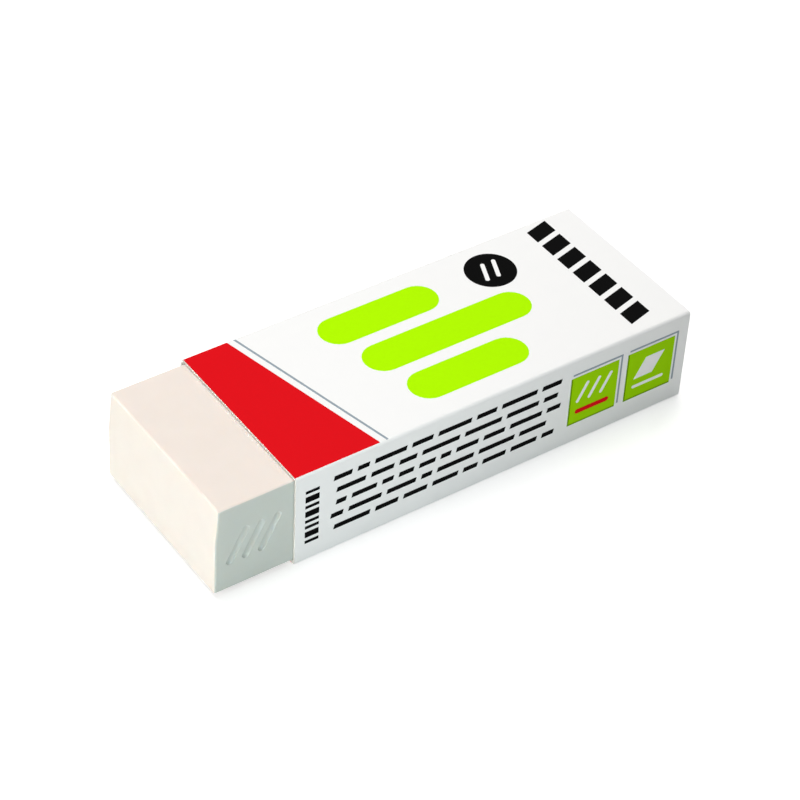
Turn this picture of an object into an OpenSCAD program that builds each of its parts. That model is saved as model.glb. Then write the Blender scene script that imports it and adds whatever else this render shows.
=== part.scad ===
// Vinyl eraser block in a folded card sleeve.
// The block lies along X. Its bare end is at -X and the sleeve covers the rest of it.
// The origin is on the surface that the eraser lies on, under the middle of its length and width.
// All sizes are in millimetres.

/* [Eraser block] */
// Length of the block along X
block_l = 61; // [45:0.5:80]
// Width of the block along Y
block_w = 21.6; // [14:0.2:32]
// Height of the block along Z
block_h = 11.3; // [8:0.1:18]
// Radius of the block's edges and corners
edge_r = 0.3; // [0.2:0.05:1.2]
// How far each end face leans back at the top edge
end_lean_top = 0.5; // [0:0.1:1.5]
// How far each end face has leaned back where its slope changes
end_lean_mid = 0.1; // [0:0.05:0.5]
// Height at which the end face's slope changes
end_break_h = 6.6; // [3:0.2:7]

/* [Pressed mark on the block's side] */
// Number of slanted strokes in the mark
mark_count = 3; // [1:1:4]
// Length of one stroke, round ends included
mark_l = 5; // [2:0.25:6]
// Width of one stroke at the block's surface
mark_w = 0.9; // [0.5:0.1:1.2]
// Distance from one stroke to the next along X
mark_pitch = 1.9; // [1.4:0.1:2]
// Slope of the strokes above the horizontal, in degrees
mark_slope = 62; // [45:1:90]
// Depth of the strokes in their middle
mark_depth = 0.25; // [0.1:0.05:0.25]

/* [Card sleeve] */
// Length of the sleeve along X
sleeve_l = 51.5; // [35:0.5:70]
// Thickness of the card
card_t = 0.3; // [0.2:0.05:0.6]
// Inside radius of the card's folds
fold_r = 0.1; // [0.05:0.05:0.4]
// Play between the block and the card, on each side
slip = 0.1; // [0.05:0.05:0.3]
// How far the outer back panel's cut edge stays below the top of the sleeve
seam_drop = 0.6; // [0.6:0.05:2]
// Space between the glue flap's free edge and the bottom panel
flap_gap = 2.5; // [1:0.25:4]
// How far the glue flap's ends are cut back at its free edge
flap_taper = 2; // [0.5:0.25:4]

/* [Place of the sleeve] */
// Length of the block's base that shows at the mouth of the sleeve
bare_l = 9.5; // [4:0.5:20]

/* [Hidden] */

// Facets on the small spheres that round the block
ROUND_FN = 24;
// Facets on circles that stay true arcs
ARC_FN = 64;

// Overall length, and the stations along X
overall_l = max(block_l, bare_l + sleeve_l);
block_x0 = -overall_l / 2;
block_x1 = block_x0 + block_l;
mouth_x = block_x0 + bare_l;
sleeve_x1 = mouth_x + sleeve_l;

// The sleeve's outside follows from the block, the play and the layers of card:
// one layer on the front, top and bottom, and two glued layers on the back
sleeve_w = block_w + 2 * slip + 3 * card_t;
sleeve_h = block_h + 2 * slip + 2 * card_t;
front_y = -sleeve_w / 2;
back_y = sleeve_w / 2;
flap_y = back_y - card_t;
fold_out_r = fold_r + card_t;

// The block's place inside the sleeve
block_y0 = front_y + card_t + slip;
block_y1 = block_y0 + block_w;
block_z0 = card_t + slip;

// Radius of a round stroke that is mark_w wide at the surface and mark_depth deep
stroke_r = (pow(mark_w / 2, 2) + pow(mark_depth, 2)) / (2 * mark_depth);

// Rectangle with true round corners, drawn as (y, z) from its two opposite corners
module round_rect(y0, z0, y1, z1, r) {
    translate([y0, z0 + r]) square([y1 - y0, z1 - z0 - 2 * r]);
    translate([y0 + r, z0]) square([y1 - y0 - 2 * r, z1 - z0]);
    for (y = [y0 + r, y1 - r])
        for (z = [z0 + r, z1 - r])
            translate([y, z]) circle(r = r, $fn = ARC_FN);
}

// The same rectangle, cut off square above a height
module round_base(y0, z0, y1, z1, r, cut_z) {
    intersection() {
        round_rect(y0, z0, y1, z1, r);
        translate([y0, z0]) square([y1 - y0, cut_z - z0]);
    }
}

// Section of the wrapped card, drawn as (y, z), without the glue flap:
// the top panel turns down at the back, and the outer back panel rises from the bottom to meet it
module wrap_section() {
    difference() {
        union() {
            round_rect(front_y, 0, flap_y, sleeve_h, fold_out_r);
            round_base(front_y, 0, back_y, sleeve_h, fold_out_r, sleeve_h - seam_drop);
        }
        round_rect(front_y + card_t, card_t, flap_y - card_t, sleeve_h - card_t, fold_r);
        round_base(front_y + card_t, card_t, flap_y, sleeve_h - card_t, fold_r,
                   sleeve_h - fold_out_r);
    }
}

// Glue flap, which hangs from the top panel's back fold, with its ends cut back
module glue_flap() {
    flap_top = sleeve_h - fold_out_r;
    flap_end = card_t + flap_gap;
    translate([0, flap_y, 0])
        rotate([90, 0, 0])
            linear_extrude(height = card_t)
                polygon([
                    [mouth_x, flap_top],
                    [mouth_x + flap_taper, flap_end],
                    [sleeve_x1 - flap_taper, flap_end],
                    [sleeve_x1, flap_top],
                ]);
}

// Turns a (y, z) section so that it runs along X from the mouth for the sleeve's length
module along_sleeve() {
    translate([mouth_x, 0, 0])
        rotate([90, 0, 90])
            linear_extrude(height = sleeve_l)
                children();
}

module card_sleeve() {
    color("whitesmoke")
        union() {
            along_sleeve() wrap_section();
            glue_flap();
        }
}

// The four corner spheres of the block at one height, with both ends leaned in by lean
module corner_ring(z, lean) {
    for (x = [block_x0 + lean + edge_r, block_x1 - lean - edge_r])
        for (y = [block_y0 + edge_r, block_y1 - edge_r])
            translate([x, y, z]) sphere(r = edge_r, $fn = ROUND_FN);
}

// Moulded outline of the block: flat sides, rounded edges and ends that lean back towards the top
module block_body() {
    hull() {
        corner_ring(block_z0 + edge_r, 0);
        corner_ring(block_z0 + end_break_h, end_lean_mid);
        corner_ring(block_z0 + block_h - edge_r, end_lean_top);
    }
}

// Round bar along X that presses one stroke. Its radius gives the stroke its width and depth.
module stroke() {
    straight = mark_l - mark_w;
    rotate([0, 90, 0]) cylinder(r = stroke_r, h = straight, center = true, $fn = ARC_FN);
    for (side = [-1, 1])
        translate([side * straight / 2, 0, 0]) sphere(r = stroke_r, $fn = ARC_FN);
}

// Slanted strokes pressed into the block's front side, in the middle of its bare end
module pressed_mark() {
    mark_x = mouth_x - bare_l / 2;
    mark_y = block_y0 + mark_depth - stroke_r;
    mark_z = block_z0 + block_h / 2;
    for (i = [0:mark_count - 1])
        translate([mark_x + (i - (mark_count - 1) / 2) * mark_pitch, mark_y, mark_z])
            rotate([0, -mark_slope, 0])
                stroke();
}

module eraser_block() {
    color("ivory")
        difference() {
            block_body();
            pressed_mark();
        }
}

card_sleeve();
eraser_block();
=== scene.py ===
# A vinyl eraser in its printed card sleeve: finishes, print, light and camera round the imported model.
# Sizes and places on the object are in millimetres; those of the camera, lights and floor are in metres.
import math
import random

import bmesh
import bpy
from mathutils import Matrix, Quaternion, Vector


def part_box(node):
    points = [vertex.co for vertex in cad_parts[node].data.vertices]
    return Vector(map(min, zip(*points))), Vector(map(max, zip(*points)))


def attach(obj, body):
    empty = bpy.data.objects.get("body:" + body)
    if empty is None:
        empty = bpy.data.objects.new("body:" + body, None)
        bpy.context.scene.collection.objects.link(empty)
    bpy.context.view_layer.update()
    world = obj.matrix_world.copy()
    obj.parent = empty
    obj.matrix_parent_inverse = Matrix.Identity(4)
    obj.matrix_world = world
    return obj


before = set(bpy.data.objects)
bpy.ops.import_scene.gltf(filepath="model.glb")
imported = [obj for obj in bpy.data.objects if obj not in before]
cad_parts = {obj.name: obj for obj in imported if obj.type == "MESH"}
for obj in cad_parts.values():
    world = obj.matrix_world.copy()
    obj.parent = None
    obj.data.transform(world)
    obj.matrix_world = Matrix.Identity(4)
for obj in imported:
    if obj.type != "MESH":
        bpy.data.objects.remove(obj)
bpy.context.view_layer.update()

MM = 0.001

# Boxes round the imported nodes
SLEEVE_LOW, SLEEVE_HIGH = (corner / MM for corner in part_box("card_sleeve"))
ERASER_LOW, ERASER_HIGH = (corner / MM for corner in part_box("eraser_block"))
MOUTH_X = SLEEVE_LOW.x
FRONT_Y, BACK_Y = SLEEVE_LOW.y, SLEEVE_HIGH.y
TOP_Z = SLEEVE_HIGH.z

# The card's own sizes, as in the part's source
CARD_T = 0.3
FOLD_OUT_R = 0.4

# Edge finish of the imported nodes: weld distance, bevels, and angles in degrees
WELD_DISTANCE = 0.0005
SLEEVE_BEVEL, ERASER_BEVEL, BEVEL_SEGMENTS = 0.02, 0.12, 2
FLAT_ANGLE = 0.5
EDGE_ANGLE = 45

# Colours, linear
WHITE = (1, 1, 1, 1)
CARD_WHITE = (0.88, 0.88, 0.875, 1)
CARD_CLOUD = (0.85, 0.855, 0.855, 1)
CARD_RAW = (0.77, 0.755, 0.71, 1)
CARD_FIBRE = (0.66, 0.64, 0.59, 1)
# The vinyl's end colour is painted light, lighter than its top; its side colour is painted shade, darker and
# cooler.
VINYL_END_PAINTED_LIGHT = (0.845, 0.795, 0.73, 1)
VINYL_LONG = (0.81, 0.73, 0.67, 1)
VINYL_SIDE_PAINTED_SHADE = (0.57, 0.61, 0.57, 1)
VINYL_MOTTLE = (0.45, 0.38, 0.31, 1)
INK_COLOURS = {
    "ink_red": (0.72, 0.006, 0.011, 1),
    "ink_lime": (0.43, 0.92, 0.0, 1),
    "ink_green": (0.35, 0.70, 0.002, 1),
    "ink_green_dark": (0.17, 0.34, 0.001, 1),
    "ink_black": (0.002, 0.002, 0.002, 1),
    "ink_grey": (0.30, 0.36, 0.41, 1),
    "ink_white": (0.92, 0.92, 0.915, 1),
}

# Roughness and specular level, where a pair of roughnesses is the range that a texture moves it over
CARD_ROUGHNESS, BOARD_ROUGHNESS, CARD_SPECULAR = 0.55, 0.92, 0.25
INK_ROUGHNESS, INK_SPECULAR = (0.50, 0.60), 0.008
VINYL_ROUGHNESS, VINYL_SPECULAR = (0.55, 0.68), 0.3

# Light that spreads inside the vinyl: its share, its reach for red, green and blue, and the reach's scale
SPREAD_SHARE, SPREAD_REACH, SPREAD_SCALE = 0.35, (1.0, 0.75, 0.55), 0.9

# Textures, each a set of arguments for noise()
FIBRES = {"scale": 5200, "detail": 6, "roughness": 0.65, "stretch": (0.35, 1, 1)}
CARD_CLOUDS = {"scale": 420, "detail": 2}
CARD_WAVES = {"scale": 160, "detail": 1}
INK_MOTTLE = {"scale": 2600, "detail": 4, "roughness": 0.7}
VINYL_CLOUDS = {"scale": 330, "detail": 3}
VINYL_GRAIN = {"scale": 3400, "detail": 5, "roughness": 0.6}
VINYL_WAVES = {"scale": 210, "detail": 2}
KNIFE_LINES = {"scale": 900, "detail": 3, "stretch": (1, 0.08, 1.6)}

# The span of a noise that brings in a second colour or roughness, and the most of a colour that it brings
NOISE_SPAN, FIBRE_SPAN, WEAR_SPAN = (0.3, 0.7), (0.35, 0.65), (0.45, 0.8)
CARD_CLOUD_MOST, INK_WEAR_MOST, VINYL_MOTTLE_MOST = 0.25, 0.6, 0.05

# Worn ink: the share of its colour that is left, and the grey that comes on top
WORN_SHARE, WORN_GREY = 0.94, 0.002

# Bumps: strength and depth
CARD_FIBRE_BUMP = (0.25, 0.006)
CARD_WAVE_BUMP = (0.15, 0.05)
INK_FIBRE_BUMP = (0.2, 0.006)
VINYL_GRAIN_BUMP = (0.35, 0.02)
VINYL_WAVE_BUMP = (0.3, 0.12)
KNIFE_BUMP = (0.3, 0.05)

# Ramps on the vinyl: how far in from the eraser's box the painted shade of its front and back sides, or the
# painted light and knife lines of its ends, start, and how far in they are full. The last ramp is of the
# normal's X part, which tells an end from what is beside it.
SIDE_SHADE_Y_RAMP, SIDE_SHADE_Z_RAMP, END_X_RAMP = (0.34, 0.28), (0.10, 0.16), (0.84, 0.78)
END_NORMAL_RAMP = (0.6, 0.8)

# Ramp on the card, in metres: how far out from the sleeve's middle line a face lies, along its own normal
OUTSIDE_RAMP = (0.001, 0.002)

# Sockets of a colour mix node
MIX_FACTOR, MIX_FIRST, MIX_SECOND, MIX_RESULT = 0, 6, 7, 2


def add_node(tree, kind, **values):
    """Adds a node; a value whose name is an input sets that input, and any other sets a property."""
    node = tree.nodes.new(kind)
    for name, value in values.items():
        if name in node.inputs:
            node.inputs[name].default_value = value
        else:
            setattr(node, name, value)
    return node


def new_material(name):
    """A material with nothing in it but a shader and its output."""
    material = bpy.data.materials.new(name)
    material.use_nodes = True
    tree = material.node_tree
    tree.nodes.clear()
    output = tree.nodes.new("ShaderNodeOutputMaterial")
    shader = tree.nodes.new("ShaderNodeBsdfPrincipled")
    tree.links.new(shader.outputs["BSDF"], output.inputs["Surface"])
    return material, tree, shader


def noise(tree, place, scale, detail, roughness=0.55, stretch=None):
    """Noise over object coordinates; scale is in features a metre."""
    source = place
    if stretch:
        mapping = add_node(tree, "ShaderNodeMapping")
        mapping.inputs["Scale"].default_value = stretch
        tree.links.new(place, mapping.inputs["Vector"])
        source = mapping.outputs["Vector"]
    node = add_node(tree, "ShaderNodeTexNoise", Scale=scale, Detail=detail, Roughness=roughness)
    tree.links.new(source, node.inputs["Vector"])
    return node.outputs["Fac"]


def bump(tree, shader, layers):
    """Chains bumps, each of (height socket, strength, depth), into the shader's normal."""
    normal = None
    for height, strength, depth in layers:
        node = add_node(tree, "ShaderNodeBump", Strength=strength, Distance=depth * MM)
        tree.links.new(height, node.inputs["Height"])
        if normal:
            tree.links.new(normal, node.inputs["Normal"])
        normal = node.outputs["Normal"]
    tree.links.new(normal, shader.inputs["Normal"])


def mix_colour(tree, factor, first, second):
    """Mixes two colours, each a value or a socket, by a factor socket."""
    node = add_node(tree, "ShaderNodeMix", data_type="RGBA")
    tree.links.new(factor, node.inputs[MIX_FACTOR])
    for index, colour in ((MIX_FIRST, first), (MIX_SECOND, second)):
        if isinstance(colour, tuple):
            node.inputs[index].default_value = colour
        else:
            tree.links.new(colour, node.inputs[index])
    return node.outputs[MIX_RESULT]


def map_range(tree, value, source, target=(0, 1)):
    """Maps a socket from the source range to the target range, and stops it at the target's ends."""
    node = add_node(tree, "ShaderNodeMapRange")
    for i, number in enumerate((*source, *target)):
        node.inputs[i + 1].default_value = number
    tree.links.new(value, node.inputs[0])
    return node.outputs[0]


def offset_from(tree, place, centre):
    """Object coordinates less the point centre."""
    node = add_node(tree, "ShaderNodeVectorMath", operation="SUBTRACT")
    tree.links.new(place, node.inputs[0])
    node.inputs[1].default_value = [c * MM for c in centre]
    return node.outputs[0]


def outward_side(tree, coords):
    """1 on the sleeve's printed outside, and 0 on its inside and its cut ends."""
    offset = offset_from(tree, coords.outputs["Object"], (0, 0, TOP_Z / 2))
    across = add_node(tree, "ShaderNodeVectorMath", operation="MULTIPLY")
    tree.links.new(offset, across.inputs[0])
    across.inputs[1].default_value = (0, 1, 1)
    facing = add_node(tree, "ShaderNodeVectorMath", operation="DOT_PRODUCT")
    tree.links.new(across.outputs[0], facing.inputs[0])
    tree.links.new(coords.outputs["Normal"], facing.inputs[1])
    return map_range(tree, facing.outputs["Value"], OUTSIDE_RAMP)


def size_of(tree, value):
    """A socket's value without its sign."""
    node = add_node(tree, "ShaderNodeMath", operation="ABSOLUTE")
    tree.links.new(value, node.inputs[0])
    return node.outputs[0]


def both(tree, first, second):
    """The product of two sockets, which is 1 where both are 1."""
    node = add_node(tree, "ShaderNodeMath", operation="MULTIPLY")
    tree.links.new(first, node.inputs[0])
    tree.links.new(second, node.inputs[1])
    return node.outputs[0]


def inset_mask(tree, distance, half, ramp):
    """Ramp from 0 to 1 between two insets from the box, whose side is half away from the middle."""
    start, full = ((half - inset) * MM for inset in ramp)
    return map_range(tree, size_of(tree, distance), (start, full))


def card_material():
    """Coated white card outside, with bare board on the inside and the cut ends."""
    material, tree, shader = new_material("coated_card")
    coords = add_node(tree, "ShaderNodeTexCoord")
    place = coords.outputs["Object"]
    outside = outward_side(tree, coords)
    fibres = noise(tree, place, **FIBRES)
    clouds = noise(tree, place, **CARD_CLOUDS)
    cloud_share = map_range(tree, clouds, NOISE_SPAN, (0, CARD_CLOUD_MOST))
    coated = mix_colour(tree, cloud_share, CARD_WHITE, CARD_CLOUD)
    raw = mix_colour(tree, map_range(tree, fibres, FIBRE_SPAN), CARD_RAW, CARD_FIBRE)
    tree.links.new(mix_colour(tree, outside, raw, coated), shader.inputs["Base Color"])
    roughness = map_range(tree, outside, (0, 1), (BOARD_ROUGHNESS, CARD_ROUGHNESS))
    tree.links.new(roughness, shader.inputs["Roughness"])
    shader.inputs["Specular IOR Level"].default_value = CARD_SPECULAR
    waves = noise(tree, place, **CARD_WAVES)
    bump(tree, shader, [(fibres, *CARD_FIBRE_BUMP), (waves, *CARD_WAVE_BUMP)])
    return material


def ink_material(name, colour):
    """Flat print ink with the satin finish of the card, very slightly mottled."""
    material, tree, shader = new_material(name)
    coords = add_node(tree, "ShaderNodeTexCoord")
    place = coords.outputs["Object"]
    mottle = noise(tree, place, **INK_MOTTLE)
    worn = tuple(WORN_SHARE * c + WORN_GREY for c in colour[:3]) + (1,)
    wear = map_range(tree, mottle, WEAR_SPAN, (0, INK_WEAR_MOST))
    tree.links.new(mix_colour(tree, wear, colour, worn), shader.inputs["Base Color"])
    tree.links.new(map_range(tree, mottle, NOISE_SPAN, INK_ROUGHNESS), shader.inputs["Roughness"])
    shader.inputs["Specular IOR Level"].default_value = INK_SPECULAR
    fibres = noise(tree, place, **FIBRES)
    bump(tree, shader, [(fibres, *INK_FIBRE_BUMP)])
    return material


def vinyl_material():
    """Warm white vinyl, fine grain, knife lines on the ends; painted light on the ends, painted shade on the
    sides.
    """
    material, tree, shader = new_material("white_vinyl")
    coords = add_node(tree, "ShaderNodeTexCoord")
    place = coords.outputs["Object"]
    middle = (ERASER_LOW + ERASER_HIGH) / 2
    half = ERASER_HIGH - middle
    spot = add_node(tree, "ShaderNodeSeparateXYZ")
    tree.links.new(offset_from(tree, place, middle), spot.inputs[0])
    facing = add_node(tree, "ShaderNodeSeparateXYZ")
    tree.links.new(coords.outputs["Normal"], facing.inputs[0])
    # Masks for painted shade on the front and back sides, and for painted light on the ends; the end mask
    # also holds the knife lines.
    side_shade_mask = both(
        tree,
        inset_mask(tree, spot.outputs["Y"], half.y, SIDE_SHADE_Y_RAMP),
        inset_mask(tree, spot.outputs["Z"], half.z, SIDE_SHADE_Z_RAMP),
    )
    end_light_and_knife_mask = both(
        tree,
        map_range(tree, size_of(tree, facing.outputs["X"]), END_NORMAL_RAMP),
        inset_mask(tree, spot.outputs["X"], half.x, END_X_RAMP),
    )
    clouds = noise(tree, place, **VINYL_CLOUDS)
    # Vinyl tones with painted light on the ends and painted shade on the front and back sides.
    lit_and_shaded_tones = mix_colour(tree, end_light_and_knife_mask, mix_colour(tree, side_shade_mask, VINYL_LONG, VINYL_SIDE_PAINTED_SHADE), VINYL_END_PAINTED_LIGHT)
    shade = map_range(tree, clouds, NOISE_SPAN, (0, VINYL_MOTTLE_MOST))
    tree.links.new(mix_colour(tree, shade, lit_and_shaded_tones, VINYL_MOTTLE), shader.inputs["Base Color"])
    grain = noise(tree, place, **VINYL_GRAIN)
    tree.links.new(map_range(tree, grain, NOISE_SPAN, VINYL_ROUGHNESS), shader.inputs["Roughness"])
    shader.inputs["Specular IOR Level"].default_value = VINYL_SPECULAR
    shader.inputs["Subsurface Weight"].default_value = SPREAD_SHARE
    shader.inputs["Subsurface Radius"].default_value = SPREAD_REACH
    shader.inputs["Subsurface Scale"].default_value = SPREAD_SCALE * MM
    knife = noise(tree, place, **KNIFE_LINES)
    waves = noise(tree, place, **VINYL_WAVES)
    knife_on_end = both(tree, knife, end_light_and_knife_mask)
    bump(
        tree,
        shader,
        [(grain, *VINYL_GRAIN_BUMP), (knife_on_end, *KNIFE_BUMP), (waves, *VINYL_WAVE_BUMP)],
    )
    return material


def finish_cad_node(name, material, bevel_width):
    """Gives a CAD node its material, joins its flat faces and softens its sharp edges."""
    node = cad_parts[name]
    node.data.materials.clear()
    node.data.materials.append(material)
    node.data.polygons.foreach_set("use_smooth", [True] * len(node.data.polygons))
    weld = node.modifiers.new("weld", "WELD")
    weld.merge_threshold = WELD_DISTANCE * MM
    flat = node.modifiers.new("join_flat_faces", "DECIMATE")
    flat.decimate_type = "DISSOLVE"
    flat.angle_limit = math.radians(FLAT_ANGLE)
    bevel = node.modifiers.new("soft_edges", "BEVEL")
    bevel.width = bevel_width * MM
    bevel.segments = BEVEL_SEGMENTS
    bevel.limit_method = "ANGLE"
    bevel.angle_limit = math.radians(EDGE_ANGLE)
    normals = node.modifiers.new("normals", "WEIGHTED_NORMAL")
    normals.keep_sharp = False


# The sleeve's outside laid out as a flat strip: u runs along X from the mouth, and s runs round the section,
# from the back panel's lower fold over the bottom panel to its front, up the front panel and over the top
# panel to its back. Each stretch is (length, fold radius), where radius 0 is a flat panel.
BOTTOM_L = BACK_Y - FRONT_Y - 2 * FOLD_OUT_R
FRONT_L = TOP_Z - 2 * FOLD_OUT_R
TOP_L = BOTTOM_L - CARD_T
FOLD_L = FOLD_OUT_R * math.pi / 2
BOTTOM_S = FOLD_L
FRONT_S = BOTTOM_S + BOTTOM_L + FOLD_L
TOP_S = FRONT_S + FRONT_L + FOLD_L
STRETCHES = (
    (FOLD_L, FOLD_OUT_R),
    (BOTTOM_L, 0),
    (FOLD_L, FOLD_OUT_R),
    (FRONT_L, 0),
    (FOLD_L, FOLD_OUT_R),
    (TOP_L, 0),
    (FOLD_L, FOLD_OUT_R),
)

# Flat steps that print takes round a fold, and how near a corner counts as on a crease
FOLD_STEPS = 6
CREASE_TOUCH = 1e-5

# Thickness of one ink layer, and how far the ink's underside is sunk in the card
INK_T = 0.015
INK_SINK = 0.005

# Points round a disc, and steps round one end of a stroke
DISC_POINTS = 48
END_STEPS = 12


def bottom(u, y):
    """Strip point on the bottom panel, where y is 0 in its middle and grows from its back to its front."""
    return (u, BOTTOM_S + BOTTOM_L / 2 + y)


def front(u, z):
    """Strip point on the front panel at height z."""
    return (u, FRONT_S - FOLD_OUT_R + z)


def top(u, y):
    """Strip point on the top panel, where y is 0 on the sleeve's middle line."""
    return (u, TOP_S - FOLD_OUT_R - FRONT_Y + y)


def on_card(u, s, lift):
    """Place in metres of the strip point (u, s) on the sleeve, raised off the card by lift."""
    y, z, heading = BACK_Y, FOLD_OUT_R, -math.pi / 2
    for length, radius in STRETCHES:
        going = min(s, length)
        s -= going
        if radius:
            y += radius * math.sin(heading)
            z -= radius * math.cos(heading)
            heading -= going / radius
            y -= radius * math.sin(heading)
            z += radius * math.cos(heading)
        else:
            y += going * math.cos(heading)
            z += going * math.sin(heading)
        if s <= 0:
            break
    return Vector((MOUTH_X + u, y - lift * math.sin(heading), z + lift * math.cos(heading))) * MM


def crease_lines():
    """The values of s at which print is creased, so that it follows the folds."""
    lines, start = [], 0.0
    for length, radius in STRETCHES:
        if radius:
            lines += [start + length * i / FOLD_STEPS for i in range(FOLD_STEPS + 1)]
        start += length
    return lines


def ink_piece(name, ink, outlines, layer=1):
    """One thin closed solid of ink for each outline, a list of strip points. Layer 2 lies on layer 1."""
    flat = bmesh.new()
    for outline in outlines:
        flat.faces.new([flat.verts.new((u, s, 0)) for u, s in outline])
    bmesh.ops.triangulate(flat, faces=flat.faces[:])
    for line in crease_lines():
        bmesh.ops.bisect_plane(
            flat,
            geom=flat.verts[:] + flat.edges[:] + flat.faces[:],
            plane_co=(0, line, 0),
            plane_no=(0, 1, 0),
            dist=CREASE_TOUCH,
        )
    flat.verts.index_update()
    solid = bmesh.new()
    raised = [solid.verts.new(on_card(v.co.x, v.co.y, layer * INK_T)) for v in flat.verts]
    sunk = [solid.verts.new(on_card(v.co.x, v.co.y, -INK_SINK)) for v in flat.verts]
    for face in flat.faces:
        corners = [v.index for v in face.verts]
        solid.faces.new([raised[i] for i in corners])
        solid.faces.new([sunk[i] for i in reversed(corners)])
    for edge in flat.edges:
        if edge.is_boundary:
            a, b = (v.index for v in edge.verts)
            solid.faces.new([raised[a], raised[b], sunk[b], sunk[a]])
    bmesh.ops.recalc_face_normals(solid, faces=solid.faces[:])
    mesh = bpy.data.meshes.new(name)
    solid.to_mesh(mesh)
    flat.free()
    solid.free()
    piece = bpy.data.objects.new(name, mesh)
    bpy.context.scene.collection.objects.link(piece)
    piece.data.materials.append(INKS[ink])
    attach(piece, "sleeve")


# In the outlines below, panel is one of bottom, front and top, and a point is (u, y) or, on the front, (u, z)


def disc(panel, centre, radius):
    """Outline of a circle."""
    turns = [2 * math.pi * i / DISC_POINTS for i in range(DISC_POINTS)]
    return [panel(centre[0] + radius * math.cos(t), centre[1] + radius * math.sin(t)) for t in turns]


def capsule(panel, start, end, width):
    """Outline of a straight stroke with round ends, whose centres are start and end."""
    heading = math.atan2(end[1] - start[1], end[0] - start[0])
    points = []
    for centre, first in ((end, heading - math.pi / 2), (start, heading + math.pi / 2)):
        for i in range(END_STEPS + 1):
            t = first + math.pi * i / END_STEPS
            points.append(panel(centre[0] + width / 2 * math.cos(t), centre[1] + width / 2 * math.sin(t)))
    return points


def box_outline(panel, low, high, slant=0.0):
    """Outline of a rectangle between two corners, with its upper side shifted along u by slant."""
    (u0, v0), (u1, v1) = low, high
    return [panel(u0, v0), panel(u1, v0), panel(u1 + slant, v1), panel(u0 + slant, v1)]


# Print on the wide panels: u is from the mouth, and y from the sleeve's middle line
BAND_LOW_Y, BAND_HIGH_Y = -11.1, 10.8
BAND_FRONT_U, BAND_BACK_U = 10.4, 5.4
PINSTRIPE_GAP, PINSTRIPE_T = 0.8, 0.26
LIME_WIDTH = 4.6
LIME_BARS = ((14.4, 29.5, 6.2), (16.0, 37.6, 0.0), (17.6, 32.6, -6.2))
DISC_CENTRE, DISC_R = (37.0, 6.2), 3.0
MARK_RISE, MARK_LEAN, MARK_APART, MARK_WIDTH = 2.4, 1.0, 1.5, 0.5
BLOCK_COUNT, BLOCK_START_U, BLOCK_START_Y = 7, 44.6, -9.6
BLOCK_DEPTH, BLOCK_LENGTH, BLOCK_PITCH, BLOCK_SLANT = 3.1, 2.1, 2.85, 0.8


def print_band(panel, side):
    """Red band at the mouth with a slanted edge, and a grey pinstripe along it."""

    def band_edge(y, offset=0.0):
        share = (y - BAND_LOW_Y) / (BAND_HIGH_Y - BAND_LOW_Y)
        return panel(BAND_FRONT_U + (BAND_BACK_U - BAND_FRONT_U) * share + offset, y)

    low, high = BAND_LOW_Y, BAND_HIGH_Y
    band = [panel(0, high), panel(0, low), band_edge(low), band_edge(high)]
    ink_piece("red_band_" + side, "ink_red", [band])
    near, far = PINSTRIPE_GAP, PINSTRIPE_GAP + PINSTRIPE_T
    line = [band_edge(low, near), band_edge(low, far), band_edge(high, far), band_edge(high, near)]
    ink_piece("grey_pinstripe_" + side, "ink_grey", [line])


def print_disc(panel, side):
    """Black disc with two white strokes."""
    ink_piece("black_disc_" + side, "ink_black", [disc(panel, DISC_CENTRE, DISC_R)])
    marks = []
    for shift in (-MARK_APART / 2, MARK_APART / 2):
        u, y = DISC_CENTRE[0] + shift, DISC_CENTRE[1]
        foot = (u - MARK_LEAN / 2, y - MARK_RISE / 2)
        head = (u + MARK_LEAN / 2, y + MARK_RISE / 2)
        marks.append(capsule(panel, foot, head, MARK_WIDTH))
    ink_piece("white_marks_" + side, "ink_white", marks, layer=2)


def print_blocks(panel, side):
    """Row of slanted black blocks near the far end."""
    blocks = []
    near, far = BLOCK_START_U, BLOCK_START_U + BLOCK_DEPTH
    for i in range(BLOCK_COUNT):
        y = BLOCK_START_Y + i * BLOCK_PITCH
        far_y = y + BLOCK_SLANT
        corners = ((near, y), (far, far_y), (far, far_y + BLOCK_LENGTH), (near, y + BLOCK_LENGTH))
        blocks.append([panel(*corner) for corner in corners])
    ink_piece("black_blocks_" + side, "ink_black", blocks)


def print_wide_panel(panel, side):
    """All the print of the top or the bottom panel."""
    print_band(panel, side)
    r = LIME_WIDTH / 2
    bars = [capsule(panel, (start + r, y), (end - r, y), LIME_WIDTH) for start, end, y in LIME_BARS]
    ink_piece("lime_bars_" + side, "ink_lime", bars)
    print_disc(panel, side)
    print_blocks(panel, side)


# Print on the front panel: u is from the mouth, and z is above the surface that the eraser lies on
ROW_COUNT, ROW_LOW_Z, ROW_PITCH, ROW_SEED = 5, 2.8, 1.72, 11
ROW_START, ROW_END, ROW_THICK, ROW_SLANT = 4.2, 34.2, 0.62, 0.14
ROW_START_INSET, ROW_END_INSET = 1.2, 1.5
BAR_MIN, BAR_MAX, BAR_GAP = 1.2, 4.8, 0.7
TICK_START, TICK_END, TICK_LOW_Z = 1.2, 2.9, 2.5
TICK_THICKS, TICK_GAP = (0.4, 0.8, 0.4, 0.4, 0.8, 0.4, 0.8, 0.4), 0.42
ICON_STARTS, ICON_SIZE, ICON_LOW_Z = (35.1, 42.9), 7.0, 2.85
ICON_MIDDLE_Z = ICON_LOW_Z + ICON_SIZE / 2
ICON_RIM, ICON_THIN_RIM, ICON_BEVEL = 0.28, 0.18, 0.22
SHADOW_T, SHADOW_START, SHADOW_FOOT = 0.24, 0.4, 0.3

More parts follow.
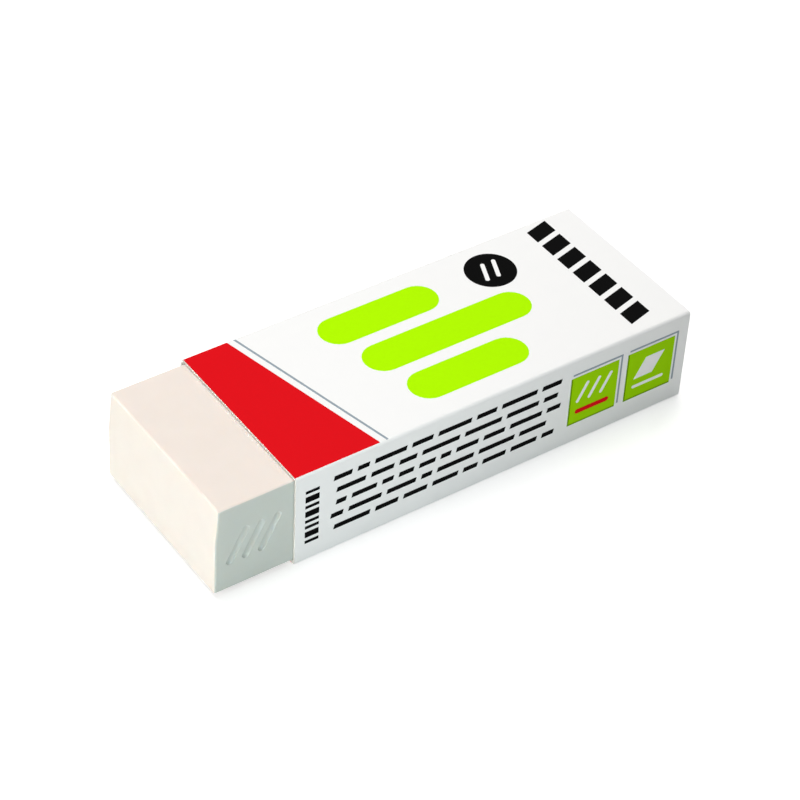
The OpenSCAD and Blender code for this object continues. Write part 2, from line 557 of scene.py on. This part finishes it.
# Art on the icons, from an icon's near side and from its middle height
STROKE_STARTS, STROKE_LEAN, STROKE_WIDTH = (1.3, 2.9, 4.5), 1.2, 0.42
STROKE_LOW, STROKE_HIGH = -0.3, 1.9
SLAB_START, SLAB_END, SLAB_LEAN = 1.3, 3.9, 1.5
SLAB_LOW, SLAB_HIGH = -0.7, 1.9
LINE_START, LINE_END, LINE_Z = 1.4, 5.4, -1.8
RED_LINE_WIDTH, WHITE_LINE_WIDTH = 0.62, 0.42


def print_rows():
    """Rows of slanted bars of many lengths, and a column of ticks at the mouth."""
    lengths = random.Random(ROW_SEED)
    bars = []
    for row in range(ROW_COUNT):
        z = ROW_LOW_Z + row * ROW_PITCH
        u = ROW_START + lengths.uniform(0, ROW_START_INSET)
        last = ROW_END - lengths.uniform(0, ROW_END_INSET)
        while u < last - BAR_MIN:
            end = min(u + lengths.uniform(BAR_MIN, BAR_MAX), last)
            bars.append(box_outline(front, (u, z), (end, z + ROW_THICK), ROW_SLANT))
            u = end + BAR_GAP
    ink_piece("dark_rows", "ink_black", bars)
    ticks, z = [], TICK_LOW_Z
    for thick in TICK_THICKS:
        ticks.append(box_outline(front, (TICK_START, z), (TICK_END, z + thick)))
        z += thick + TICK_GAP
    ink_piece("dark_ticks", "ink_black", ticks)


def print_icon(start, name):
    """A green square with a white frame, and a grey shadow along the frame's top and far side."""
    low, high = ICON_LOW_Z, ICON_LOW_Z + ICON_SIZE
    end = start + ICON_SIZE
    corners = (
        (start + SHADOW_START, high),
        (end, high),
        (end, low + SHADOW_FOOT),
        (end + SHADOW_T, low + SHADOW_FOOT),
        (end + SHADOW_T, high + SHADOW_T),
        (start + SHADOW_START, high + SHADOW_T),
    )
    ink_piece(name + "_shadow", "ink_grey", [[front(*corner) for corner in corners]])
    ink_piece(name + "_frame", "ink_white", [box_outline(front, (start, low), (end, high))])
    near, far, upper = start + ICON_THIN_RIM, end - ICON_RIM, high - ICON_RIM
    edge = box_outline(front, (near, low), (far, upper))
    ink_piece(name + "_edge", "ink_green_dark", [edge], layer=2)
    face = box_outline(front, (near + ICON_BEVEL, low + ICON_BEVEL), (far, upper))
    ink_piece(name + "_face", "ink_green", [face], layer=3)


def icon_line(icon_start, width):
    """Outline of the level line under an icon's art."""
    z = ICON_MIDDLE_Z + LINE_Z
    return capsule(front, (icon_start + LINE_START, z), (icon_start + LINE_END, z), width)


def print_front_panel():
    """The rows of bars, and two icons: strokes over a red bar, and a slanted slab over a white line."""
    print_rows()
    first, second = ICON_STARTS
    print_icon(first, "icon_a")
    strokes = []
    for start in STROKE_STARTS:
        foot = (first + start, ICON_MIDDLE_Z + STROKE_LOW)
        head = (first + start + STROKE_LEAN, ICON_MIDDLE_Z + STROKE_HIGH)
        strokes.append(capsule(front, foot, head, STROKE_WIDTH))
    ink_piece("icon_a_strokes", "ink_white", strokes, layer=4)
    ink_piece("icon_a_bar", "ink_red", [icon_line(first, RED_LINE_WIDTH)], layer=4)
    print_icon(second, "icon_b")
    low = (second + SLAB_START, ICON_MIDDLE_Z + SLAB_LOW)
    high = (second + SLAB_END, ICON_MIDDLE_Z + SLAB_HIGH)
    ink_piece("icon_b_slab", "ink_white", [box_outline(front, low, high, SLAB_LEAN)], layer=4)
    ink_piece("icon_b_line", "ink_white", [icon_line(second, WHITE_LINE_WIDTH)], layer=4)


# Lights: name, position, the point that it aims at, size, spread in degrees, power in watts and colour
MIDDLE = (0.0, 0.0, 0.006)
MOUTH = (-0.022, -0.011, 0.006)
LIGHTS = (
    ("top_light", (0.02, 0.20, 0.60), MIDDLE, 0.50, 180, 3.58, (1.0, 0.99, 0.98)),
    ("left_light", (-0.30, -0.05, 0.11), MIDDLE, 0.16, 180, 0.51, (1.0, 0.98, 0.95)),
    ("front_light", (-0.14, -0.30, 0.075), MOUTH, 0.05, 27, 0.0112, (0.88, 0.99, 1.0)),
    ("back_light", (0.28, 0.20, 0.15), MIDDLE, 0.20, 180, 0.25, (1.0, 0.99, 0.98)),
)

# Strength of the soft light from all round
WORLD_LEVEL = 0.06

# Floor: its size, how far it is below the object, and its finish
FLOOR_SIZE = 3.0
FLOOR_DROP = 0.06 * MM
FLOOR_GREY = (0.74, 0.74, 0.74, 1)
FLOOR_ROUGHNESS = 0.9

# Glow of the floor for the camera: FLOOR_LIFT within FLOOR_NEAR of the middle, and 1 beyond FLOOR_FAR
FLOOR_LIFT = 0.5
FLOOR_NEAR, FLOOR_FAR = 0.07, 0.30

# Camera: angles in degrees, where azimuth 0 looks along +Y, and its lens and sensor in millimetres
CAM_AZIMUTH = -36.6
CAM_ELEVATION = 40.8
CAM_ROLL = 3.2
CAM_DISTANCE = 0.2848
CAM_AIM = (0.00135, 0.00198, 0.00276)
CAM_LENS_MM = 116.3
CAM_SENSOR_MM = 36.0
CAM_NEAREST, CAM_FARTHEST = 0.01, 10


def seen_directly(tree):
    """1 for rays from the camera, from a reflection or through glass, and 0 for the light on the object."""
    path = tree.nodes.new("ShaderNodeLightPath")
    first = add_node(tree, "ShaderNodeMath", operation="MAXIMUM")
    tree.links.new(path.outputs["Is Camera Ray"], first.inputs[0])
    tree.links.new(path.outputs["Is Glossy Ray"], first.inputs[1])
    any_of_them = add_node(tree, "ShaderNodeMath", operation="MAXIMUM")
    tree.links.new(first.outputs[0], any_of_them.inputs[0])
    tree.links.new(path.outputs["Is Transmission Ray"], any_of_them.inputs[1])
    return any_of_them.outputs[0]


def add_lights():
    """Square lamps that the camera doesn't see."""
    for name, place, aim, size, spread, watts, colour in LIGHTS:
        data = bpy.data.lights.new(name, "AREA")
        data.shape = "SQUARE"
        data.size = size
        data.spread = math.radians(spread)
        data.energy = watts
        data.color = colour
        lamp = bpy.data.objects.new(name, data)
        lamp.location = place
        lamp.visible_camera = False
        lamp.rotation_mode = "QUATERNION"
        lamp.rotation_quaternion = (Vector(aim) - Vector(place)).to_track_quat("-Z", "Y")
        bpy.context.scene.collection.objects.link(lamp)


def add_world():
    """Soft light from all round, and plain white where the camera, a reflection or glass sees it."""
    world = bpy.data.worlds.new("studio")
    bpy.context.scene.world = world
    world.use_nodes = True
    tree = world.node_tree
    tree.nodes.clear()
    output = tree.nodes.new("ShaderNodeOutputWorld")
    ambient = add_node(tree, "ShaderNodeBackground", Color=WHITE, Strength=WORLD_LEVEL)
    backdrop = add_node(tree, "ShaderNodeBackground", Color=WHITE, Strength=1.0)
    mix = tree.nodes.new("ShaderNodeMixShader")
    tree.links.new(seen_directly(tree), mix.inputs[0])
    tree.links.new(ambient.outputs[0], mix.inputs[1])
    tree.links.new(backdrop.outputs[0], mix.inputs[2])
    tree.links.new(mix.outputs[0], output.inputs["Surface"])


def floor_material():
    """Pale floor that keeps the object's shadow and reads as white to the camera."""
    material, tree, shader = new_material("floor_white")
    shader.inputs["Base Color"].default_value = FLOOR_GREY
    shader.inputs["Roughness"].default_value = FLOOR_ROUGHNESS
    shader.inputs["Specular IOR Level"].default_value = 0.0
    shader.inputs["Emission Color"].default_value = WHITE
    coords = add_node(tree, "ShaderNodeTexCoord")
    away = add_node(tree, "ShaderNodeVectorMath", operation="LENGTH")
    tree.links.new(coords.outputs["Object"], away.inputs[0])
    glow = add_node(tree, "ShaderNodeMath", operation="MULTIPLY")
    level = map_range(tree, away.outputs["Value"], (FLOOR_NEAR, FLOOR_FAR), (FLOOR_LIFT, 1))
    tree.links.new(level, glow.inputs[0])
    tree.links.new(seen_directly(tree), glow.inputs[1])
    tree.links.new(glow.outputs[0], shader.inputs["Emission Strength"])
    return material


def add_floor():
    """Square floor just below the object, which is staging and no part of it."""
    mesh = bpy.data.meshes.new("floor")
    half = FLOOR_SIZE / 2
    corners = [(-half, -half, 0), (half, -half, 0), (half, half, 0), (-half, half, 0)]
    mesh.from_pydata(corners, [], [(0, 1, 2, 3)])
    floor = bpy.data.objects.new("floor", mesh)
    floor.location = (0, 0, -FLOOR_DROP)
    bpy.context.scene.collection.objects.link(floor)
    mesh.materials.append(floor_material())


def add_camera():
    """Camera at CAM_DISTANCE from CAM_AIM, turned to it and then rolled."""
    azimuth, elevation = math.radians(CAM_AZIMUTH), math.radians(CAM_ELEVATION)
    back = Vector((
        math.sin(azimuth) * math.cos(elevation),
        -math.cos(azimuth) * math.cos(elevation),
        math.sin(elevation),
    ))
    data = bpy.data.cameras.new("camera")
    data.lens = CAM_LENS_MM
    data.sensor_width = CAM_SENSOR_MM
    data.clip_start = CAM_NEAREST
    data.clip_end = CAM_FARTHEST
    camera = bpy.data.objects.new("camera", data)
    camera.location = Vector(CAM_AIM) + back * CAM_DISTANCE
    camera.rotation_mode = "QUATERNION"
    level = (-back).to_track_quat("-Z", "Y")
    camera.rotation_quaternion = level @ Quaternion((0, 0, 1), math.radians(CAM_ROLL))
    bpy.context.scene.collection.objects.link(camera)
    bpy.context.scene.camera = camera


INKS = {name: ink_material(name, colour) for name, colour in INK_COLOURS.items()}

finish_cad_node("card_sleeve", card_material(), SLEEVE_BEVEL)
finish_cad_node("eraser_block", vinyl_material(), ERASER_BEVEL)
print_wide_panel(top, "top")
print_wide_panel(bottom, "bottom")
print_front_panel()
add_lights()
add_world()
add_floor()
add_camera()

bpy.context.scene.view_settings.view_transform = "Standard"
